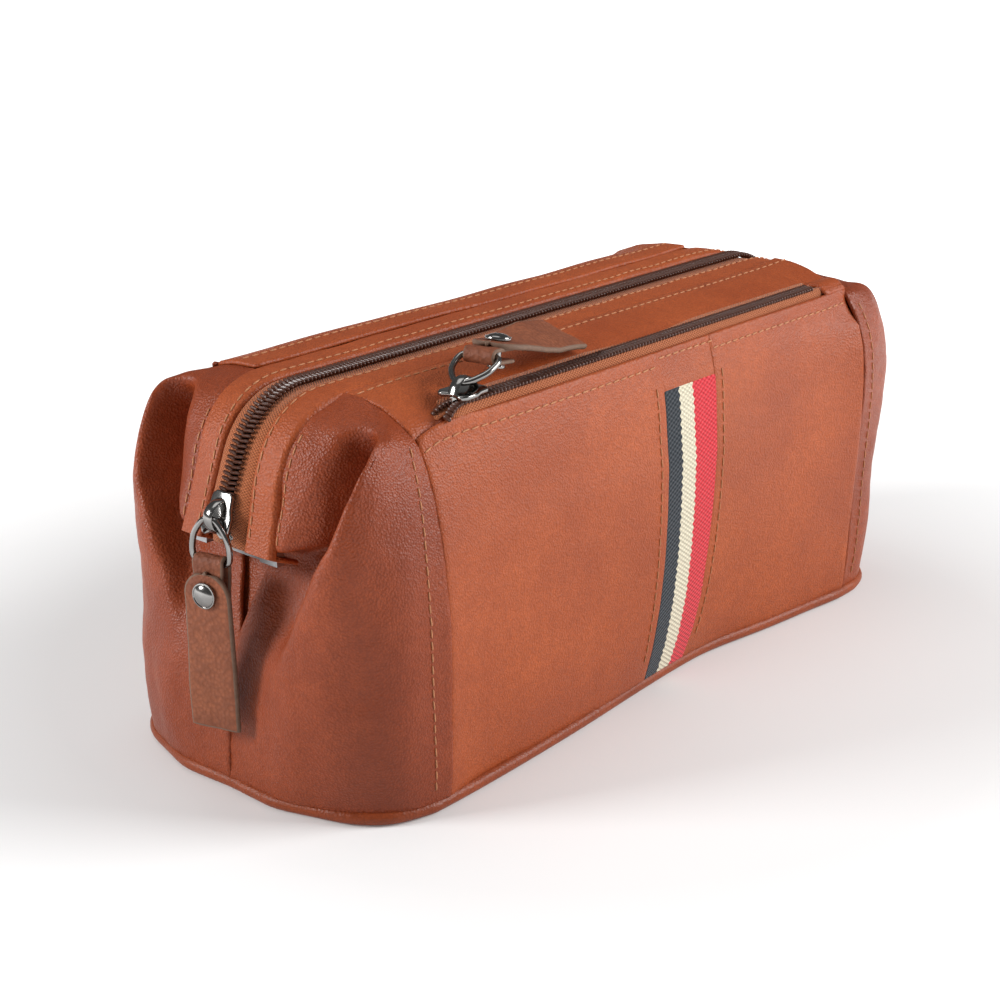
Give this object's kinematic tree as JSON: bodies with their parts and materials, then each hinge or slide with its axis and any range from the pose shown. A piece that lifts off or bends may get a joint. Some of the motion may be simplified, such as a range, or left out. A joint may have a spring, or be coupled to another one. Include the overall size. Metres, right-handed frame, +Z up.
{
  "type": "shaving kit bag",
  "caption": "Framed leather shaving kit bag with a zip over the top, a zipped front pocket, a striped webbing band and hanging leather pulls.",
  "frame": {"origin": "on the floor under the middle of the base", "axes": "+Z up, +X along the bag away from the end where the main zip closes, -Y towards the pocketed front"},
  "size_m": [0.2841, 0.116, 0.1279],
  "materials": {
    "leather": "smooth tan leather with a soft sheen",
    "tab_leather": "coarser grained leather with raw edges",
    "piping": "smooth leather over a cord",
    "board": "pressed fibre board",
    "lining": "plain woven lining",
    "webbing": "woven cotton webbing in three stripes",
    "zip_tape": "ribbed woven tape",
    "zip_coil": "nylon coil",
    "frame_steel": "plain spring steel",
    "nickel": "polished dark nickel"
  },
  "bodies": {
    "bag": {"base_panel": "leather", "base_board": "board", "piping_front": "piping", "piping_back": "piping", "piping_left": "piping", "piping_right": "piping", "front_wall": "leather", "back_wall": "leather", "pocket_front_left": "leather", "pocket_front_right": "leather", "stripe_backing": "leather", "webbing_stripe": "webbing", "gusset_left_front": "leather", "gusset_left_back": "leather", "gusset_right_front": "leather", "gusset_right_back": "leather", "lining_front": "lining", "lining_back": "lining", "lining_left": "lining", "lining_right": "lining", "lining_base": "lining"},
    "front_frame": {"front_strip": "leather", "front_frame_bar": "frame_steel", "front_zip_tape": "zip_tape", "front_zip_coil": "zip_coil", "front_shoulder": "leather", "pocket_coil_rear": "zip_coil", "pocket_coil_front": "zip_coil", "pocket_tape_rear": "zip_tape", "pocket_tape_front": "zip_tape", "pocket_end_tab": "tab_leather"},
    "back_frame": {"back_strip": "leather", "back_frame_bar": "frame_steel", "back_zip_tape": "zip_tape", "back_zip_coil": "zip_coil", "back_shoulder": "leather"},
    "frame_pivots": {"hinge_rivet_left": "frame_steel", "hinge_rivet_right": "frame_steel", "zip_tail": "zip_tape"},
    "main_slider": {"main_slider": "nickel"},
    "main_ring": {"main_ring": "nickel"},
    "main_tab": {"main_pull_tab": "tab_leather", "main_pull_loop": "tab_leather", "main_pull_rivet": "nickel"},
    "pocket_slider": {"pocket_slider": "nickel"},
    "pocket_ring": {"pocket_ring": "nickel"},
    "pocket_tab": {"pocket_pull_tab": "tab_leather", "pocket_pull_loop": "tab_leather", "pocket_pull_rivet": "nickel"}
  },
  "joints": [
    {"name": "front_open", "type": "hinge", "parent": "bag", "child": "front_frame", "pos_m": [0, -0.0365, 0.089], "axis": [1, 0, 0], "range_deg": [0, 42]},
    {"name": "back_open", "type": "hinge", "parent": "bag", "child": "back_frame", "pos_m": [0, 0.0365, 0.089], "axis": [1, 0, 0], "range_deg": [-42, 0]},
    {"name": "pivots_rise", "type": "slide", "parent": "bag", "child": "frame_pivots", "axis": [0, 0, 1], "range_m": [0, 0.0281]},
    {"name": "main_zip_slide", "type": "slide", "parent": "frame_pivots", "child": "main_slider", "axis": [0.3843, 0, 0.9232], "range_m": [0, 0.007]},
    {"name": "main_ring_swing", "type": "hinge", "parent": "main_slider", "child": "main_ring", "pos_m": [-0.1395, 0, 0.08344], "axis": [-0.2079, 0.9781, 0], "range_deg": [0, 95]},
    {"name": "main_tab_swing", "type": "hinge", "parent": "main_ring", "child": "main_tab", "pos_m": [-0.1395, 0, 0.07084], "axis": [-0.2079, 0.9781, 0], "range_deg": [0, 80]},
    {"name": "pocket_zip_slide", "type": "slide", "parent": "front_frame", "child": "pocket_slider", "axis": [1, 0, 0], "range_m": [0, 0.165]},
    {"name": "pocket_ring_swing", "type": "hinge", "parent": "pocket_slider", "child": "pocket_ring", "pos_m": [-0.0849, -0.0436, 0.11905], "axis": [-0.1908, 0.9816, 0], "range_deg": [-95, 0]},
    {"name": "pocket_tab_swing", "type": "hinge", "parent": "pocket_ring", "child": "pocket_tab", "pos_m": [-0.07343, -0.04137, 0.12377], "axis": [-0.1908, 0.9816, 0], "range_deg": [-60, 0]}
  ],
  "couplings": [
    {"joint": "back_open", "follows": "front_open", "ratio": -1},
    {"joint": "pivots_rise", "follows": "front_open", "m_per_rad": 0.0382}
  ]
}
